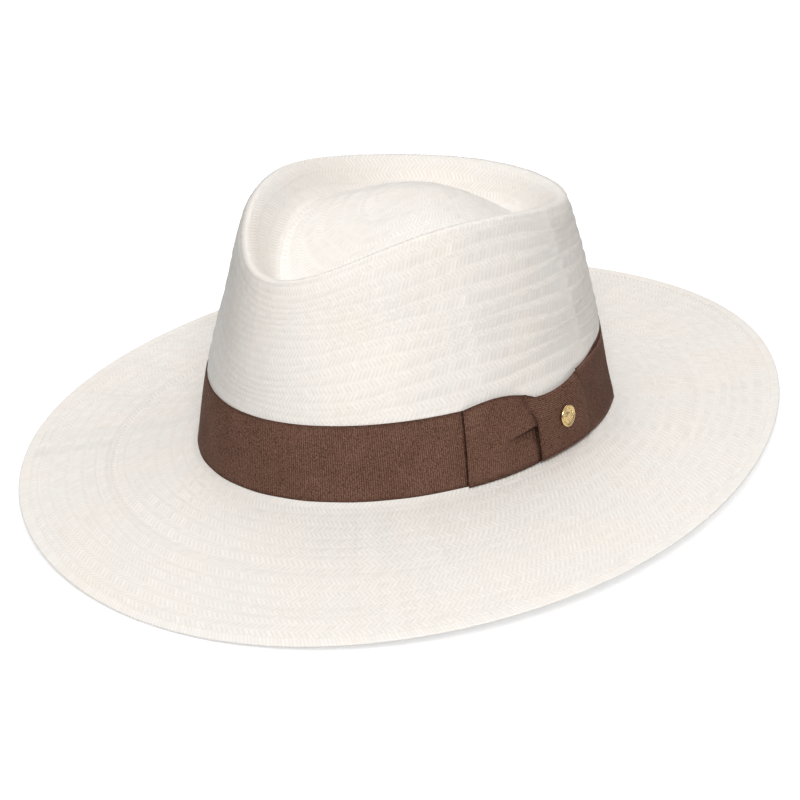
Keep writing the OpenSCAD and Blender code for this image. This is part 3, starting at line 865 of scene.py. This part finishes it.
class Nodes:
    """Short names for the nodes of one material."""

    def __init__(self, name):
        self.material = bpy.data.materials.new(name)
        self.material.use_nodes = True
        self.tree = self.material.node_tree
        self.surface = self.tree.nodes["Principled BSDF"]
        self.place = self.tree.nodes.new("ShaderNodeTexCoord").outputs["Object"]
        tone = self.tree.nodes.new("ShaderNodeAttribute")
        tone.attribute_name = "tone"
        self.tone = tone.outputs["Fac"]

    def feed(self, socket, value):
        if isinstance(value, bpy.types.NodeSocket):
            self.tree.links.new(value, socket)
        else:
            socket.default_value = value

    def set(self, **values):
        for key, value in values.items():
            self.feed(self.surface.inputs[key.replace("_", " ")], value)

    def pattern(self, kind, size_mm):
        node = self.tree.nodes.new(kind)
        self.tree.links.new(self.place, node.inputs["Vector"])
        node.inputs["Scale"].default_value = 1 / (size_mm * MM)
        return node

    def noise(self, size_mm, detail, rough=0.5):
        node = self.pattern("ShaderNodeTexNoise", size_mm)
        node.inputs["Detail"].default_value = detail
        node.inputs["Roughness"].default_value = rough
        return node.outputs["Fac"]

    def cell_edges(self, size_mm):
        node = self.pattern("ShaderNodeTexVoronoi", size_mm)
        node.feature = "DISTANCE_TO_EDGE"
        return node.outputs["Distance"]

    def ramp(self, value, stops):
        node = self.tree.nodes.new("ShaderNodeValToRGB")
        elements = node.color_ramp.elements
        while len(elements) < len(stops):
            elements.new(0.5)
        for element, (position, colour) in zip(elements, stops):
            element.position = position
            element.color = colour
        self.tree.links.new(value, node.inputs["Fac"])
        return node.outputs["Color"]

    def span(self, value, low, high, to_low=0.0, to_high=1.0):
        node = self.tree.nodes.new("ShaderNodeMapRange")
        self.tree.links.new(value, node.inputs["Value"])
        for key, number in (("From Min", low), ("From Max", high), ("To Min", to_low), ("To Max", to_high)):
            node.inputs[key].default_value = number
        return node.outputs["Result"]

    def math(self, kind, a, b):
        node = self.tree.nodes.new("ShaderNodeMath")
        node.operation = kind
        for socket, value in zip(node.inputs, (a, b)):
            self.feed(socket, value)
        return node.outputs["Value"]

    def blend(self, factor, a, b, kind="MIX"):
        node = self.tree.nodes.new("ShaderNodeMix")
        node.data_type = "RGBA"
        node.blend_type = kind
        colours = [socket for socket in node.inputs if socket.type == "RGBA"]
        for socket, value in zip([node.inputs[0]] + colours, (factor, a, b)):
            self.feed(socket, value)
        return [socket for socket in node.outputs if socket.type == "RGBA"][0]

    def bump(self, height, depth_mm, strength, below=None):
        node = self.tree.nodes.new("ShaderNodeBump")
        node.inputs["Distance"].default_value = depth_mm * MM
        node.inputs["Strength"].default_value = strength
        self.tree.links.new(height, node.inputs["Height"])
        if below is not None:
            self.tree.links.new(below, node.inputs["Normal"])
        return node.outputs["Normal"]


def straw_material():
    """Bleached toquilla straw: each straw a little different, painted shade in the gaps between raised
    straws, fine fibres and a satin face.
    """
    n = Nodes("straw")
    hollow, side, face = srgb(215, 208, 199), srgb(237, 232, 225), srgb(248, 246, 241)
    # The tone ramp paints shade: hollow is the colour of the gaps between straws, side and face those of the
    # raised straws.
    straw = n.ramp(n.tone, [(0.0, hollow), (0.4, side), (1.0, face)])
    patches = n.ramp(n.noise(38, 3), [(0.35, srgb(255, 252, 250)), (0.65, srgb(252, 252, 253))])
    colour = n.blend(0.8, straw, patches, "MULTIPLY")
    fleck = n.span(n.noise(0.9, 1), 0.70, 0.76)
    rare = n.span(n.noise(7, 2), 0.55, 0.66)
    fleck = n.math("MULTIPLY", n.math("MULTIPLY", fleck, rare), 0.45)
    tan = srgb(196, 176, 148)
    colour = n.blend(fleck, colour, tan)
    fibre = n.noise(0.35, 3, 0.7)
    n.set(Base_Color=colour, Roughness=n.span(fibre, 0.3, 0.7, 0.46, 0.66), Specular_IOR_Level=0.35)
    n.set(Sheen_Weight=0.08, Sheen_Roughness=0.5)
    n.set(Normal=n.bump(fibre, 0.05, 0.5))
    return n.material


def thread_material(name, light, dark):
    """Twisted thread, with painted light where it arches out of the cloth and painted shade where it goes
    back in.
    """
    n = Nodes(name)
    twist = n.noise(0.25, 3, 0.7)
    height = n.math("ADD", n.math("MULTIPLY", n.tone, 0.6), n.math("MULTIPLY", twist, 0.4))
    n.set(Base_Color=n.ramp(height, [(0.15, dark), (0.75, light)]))
    n.set(Roughness=n.span(twist, 0.3, 0.7, 0.6, 0.85), Sheen_Weight=0.2)
    n.set(Normal=n.bump(twist, 0.08, 0.6))
    return n.material


def ribbon_material():
    """Grosgrain: painted light on the ribs' crests and painted shade in their grooves, the dye lies unevenly,
    and loose fibres give a soft sheen.
    """
    n = Nodes("ribbon")
    shadow, groove, side, crest = srgb(30, 20, 16), srgb(88, 61, 50), srgb(121, 89, 75), srgb(136, 102, 86)
    # The tone ramp paints light and shade: shadow darkens the fold and the edges by the knot, and groove to
    # crest paints the ribs.
    rib = n.ramp(n.tone, [(0.0, shadow), (0.2, groove), (0.6, side), (1.0, crest)])
    white = srgb(255, 255, 255)
    dye = n.ramp(n.noise(14, 3), [(0.3, srgb(236, 232, 230)), (0.7, white)])
    colour = n.blend(1.0, rib, dye, "MULTIPLY")
    speckle = n.noise(0.55, 2, 0.6)
    speckle = n.ramp(speckle, [(0.34, srgb(150, 142, 138)), (0.5, srgb(226, 223, 221)), (0.62, white)])
    colour = n.blend(1.0, colour, speckle, "MULTIPLY")
    lint = n.span(n.noise(0.6, 2), 0.64, 0.76)
    colour = n.blend(n.math("MULTIPLY", lint, 0.5), colour, srgb(184, 152, 130))
    yarn = n.noise(0.28, 3, 0.75)
    n.set(Base_Color=colour, Roughness=n.span(yarn, 0.3, 0.7, 0.55, 0.8), Specular_IOR_Level=0.1)
    n.set(Sheen_Weight=0.02, Sheen_Roughness=0.4, Sheen_Tint=srgb(190, 160, 145))
    n.set(Normal=n.bump(yarn, 0.10, 0.6))
    return n.material


def stud_material():
    """Gold-coloured plating, polished in some patches and duller in others."""
    n = Nodes("stud_metal")
    wear = n.noise(1.6, 4, 0.6)
    fine = n.noise(0.12, 3, 0.7)
    n.set(Base_Color=n.ramp(wear, [(0.3, srgb(228, 198, 140)), (0.7, srgb(246, 222, 170))]), Metallic=1.0)
    n.set(Roughness=n.span(wear, 0.3, 0.7, 0.1, 0.24), Normal=n.bump(fine, 0.02, 0.35))
    return n.material


def leather_material():
    """Tan leather: an uneven tint, darker lines between the cells of its grain, and soft creases."""
    n = Nodes("sweatband_leather")
    cells = n.span(n.cell_edges(0.9), 0.0, 0.12)
    tint = n.ramp(n.noise(22, 4), [(0.3, srgb(204, 182, 152)), (0.7, srgb(221, 203, 176))])
    n.set(Base_Color=n.blend(cells, srgb(176, 150, 120), tint))
    n.set(Roughness=n.span(n.noise(6, 3), 0.3, 0.7, 0.42, 0.62))
    n.set(Normal=n.bump(cells, 0.08, 0.6, n.bump(n.noise(3.5, 3), 0.25, 0.5)))
    return n.material


def label_material():
    """Off-white woven cloth with nothing on it."""
    n = Nodes("label_cloth")
    weave = n.noise(0.3, 2, 0.7)
    # The tone paints shade in the grooves of the weave and light on its crests.
    n.set(Base_Color=n.ramp(n.tone, [(0.1, srgb(196, 192, 182)), (0.8, srgb(236, 233, 226))]))
    n.set(Roughness=n.span(weave, 0.3, 0.7, 0.5, 0.75), Sheen_Weight=0.15, Normal=n.bump(weave, 0.06, 0.5))
    return n.material


# ---------------------------------------------------------------- stage, light and camera


def grey(level):
    return (level, level, level, 1)


def floor_material():
    """White paper, lifted towards pure white for the camera, and more so away from the hat."""
    n = Nodes("floor")
    n.set(Base_Color=n.ramp(n.noise(600, 2), [(0.3, grey(0.66)), (0.7, grey(0.68))]), Roughness=0.8)
    distance = n.tree.nodes.new("ShaderNodeVectorMath")
    distance.operation = "LENGTH"
    n.tree.links.new(n.place, distance.inputs[0])
    near, far, near_lift, far_lift = 0.4, 2.5, 0.6, 1.0
    lift = n.span(distance.outputs["Value"], near, far, near_lift, far_lift)
    rays = n.tree.nodes.new("ShaderNodeLightPath").outputs["Is Camera Ray"]
    n.set(Emission_Color=grey(1), Emission_Strength=n.math("MULTIPLY", rays, lift))
    return n.material


def make_stage():
    """A round floor under the brim, with a rim that curves up far away. Its sizes are in metres."""
    turn = circle(96)
    r = np.array([0.02, 1.0, 3.0, 6.0, 9.0, 9.8, 10.4, 10.7])[:, None]
    z = np.array([0, 0, 0, 0, 0.02, 0.15, 0.6, 1.4])[:, None]
    points = stack(r * np.cos(turn), r * np.sin(turn), z + STRAW_LOW[2] * MM)
    faces = ring_faces(len(r), len(turn)) + [list(range(len(turn)))]
    mesh = bpy.data.meshes.new("floor")
    mesh.from_pydata(points.reshape(-1, 3).tolist(), [], faces)
    mesh.materials.append(floor_material())
    floor = bpy.data.objects.new("floor", mesh)
    bpy.context.scene.collection.objects.link(floor)


def make_world():
    """White to the camera, and to the hat a soft glow that is bright overhead and dim level with it."""
    world = bpy.data.worlds.new("studio")
    bpy.context.scene.world = world
    world.use_nodes = True
    tree = world.node_tree
    seen = tree.nodes["Background"]
    seen.inputs["Color"].default_value = grey(1)
    seen.inputs["Strength"].default_value = 1.08
    glow = tree.nodes.new("ShaderNodeBackground")
    coord = tree.nodes.new("ShaderNodeTexCoord")
    split = tree.nodes.new("ShaderNodeSeparateXYZ")
    tree.links.new(coord.outputs["Generated"], split.inputs["Vector"])
    ramp = tree.nodes.new("ShaderNodeValToRGB")
    level, overhead = ramp.color_ramp.elements
    level.position = 0.0
    level.color = (0.25, 0.25, 0.26, 1)
    overhead.position = 0.9
    overhead.color = grey(1)
    tree.links.new(split.outputs["Z"], ramp.inputs["Fac"])
    tree.links.new(ramp.outputs["Color"], glow.inputs["Color"])
    glow.inputs["Strength"].default_value = 0.55
    rays = tree.nodes.new("ShaderNodeLightPath")
    choose = tree.nodes.new("ShaderNodeMixShader")
    tree.links.new(rays.outputs["Is Camera Ray"], choose.inputs["Fac"])
    tree.links.new(glow.outputs["Background"], choose.inputs[1])
    tree.links.new(seen.outputs["Background"], choose.inputs[2])
    tree.links.new(choose.outputs["Shader"], tree.nodes["World Output"].inputs["Surface"])


def area_light(name, place, target, size, power):
    """A round soft light; sizes and places are in metres."""
    light = bpy.data.lights.new(name, "AREA")
    light.shape = "DISK"
    light.size = size
    light.energy = power
    obj = bpy.data.objects.new(name, light)
    obj.location = place
    obj.rotation_euler = (Vector(target) - Vector(place)).to_track_quat("-Z", "Y").to_euler()
    bpy.context.scene.collection.objects.link(obj)


def make_camera():
    """The photograph's view: 40 degrees towards the wearer's left, 28 above the table, a little rolled."""
    azimuth, elevation, roll = math.radians(40.0), math.radians(28.0), math.radians(5.5)
    distance, target = 1.534, Vector((0, 0, -0.011))
    right = Vector((math.cos(azimuth), math.sin(azimuth), 0))
    level_back = Vector((math.sin(azimuth), -math.cos(azimuth), 0))
    back = level_back * math.cos(elevation) + Vector((0, 0, math.sin(elevation)))
    up = back.cross(right)
    across = right * math.cos(roll) - up * math.sin(roll)
    upright = right * math.sin(roll) + up * math.cos(roll)
    camera = bpy.data.objects.new("camera", bpy.data.cameras.new("camera"))
    camera.data.sensor_width, camera.data.lens = 36, 155.5
    camera.data.shift_x, camera.data.shift_y = -0.0081, 0.0419
    camera.data.clip_end = 60
    turn = Matrix((across, upright, back)).transposed().to_4x4()
    camera.matrix_world = Matrix.Translation(target + back * distance) @ turn
    bpy.context.scene.collection.objects.link(camera)
    bpy.context.scene.camera = camera


# ---------------------------------------------------------------- the whole hat

straw = straw_material()
straw_thread = thread_material("straw_thread", srgb(244, 239, 230), srgb(214, 206, 192))
ribbon = ribbon_material()
ribbon_thread = thread_material("ribbon_thread", srgb(104, 76, 64), srgb(72, 50, 41))
metal = stud_material()
leather = leather_material()

make_straw_brim(straw)
make_straw_crown(straw)
make_edge_stitching(straw_thread)
make_hat_band(ribbon)
make_front_loop(ribbon)
make_rear_tail(ribbon)
make_knot(ribbon)
make_tacks(ribbon_thread)
make_stud(metal)
for node in ("stud_post", "stud_clip"):
    materials = frame["nodes"][node].data.materials
    materials.clear()
    materials.append(metal)
make_sweatband(leather)
make_sweatband_cord(leather)
make_sweatband_stitches(straw_thread)
make_inside_trims(leather, ribbon, label_material())

make_stage()
make_world()
area_light("key", place=(1.05, -1.12, 1.30), target=(0, 0, 0.02), size=0.7, power=25.4)
area_light("back", place=(-0.9, 1.2, 1.9), target=(0, 0, 0), size=1.6, power=18)
make_camera()

view = bpy.context.scene.view_settings
view.view_transform = "Standard"
view.look = "None"
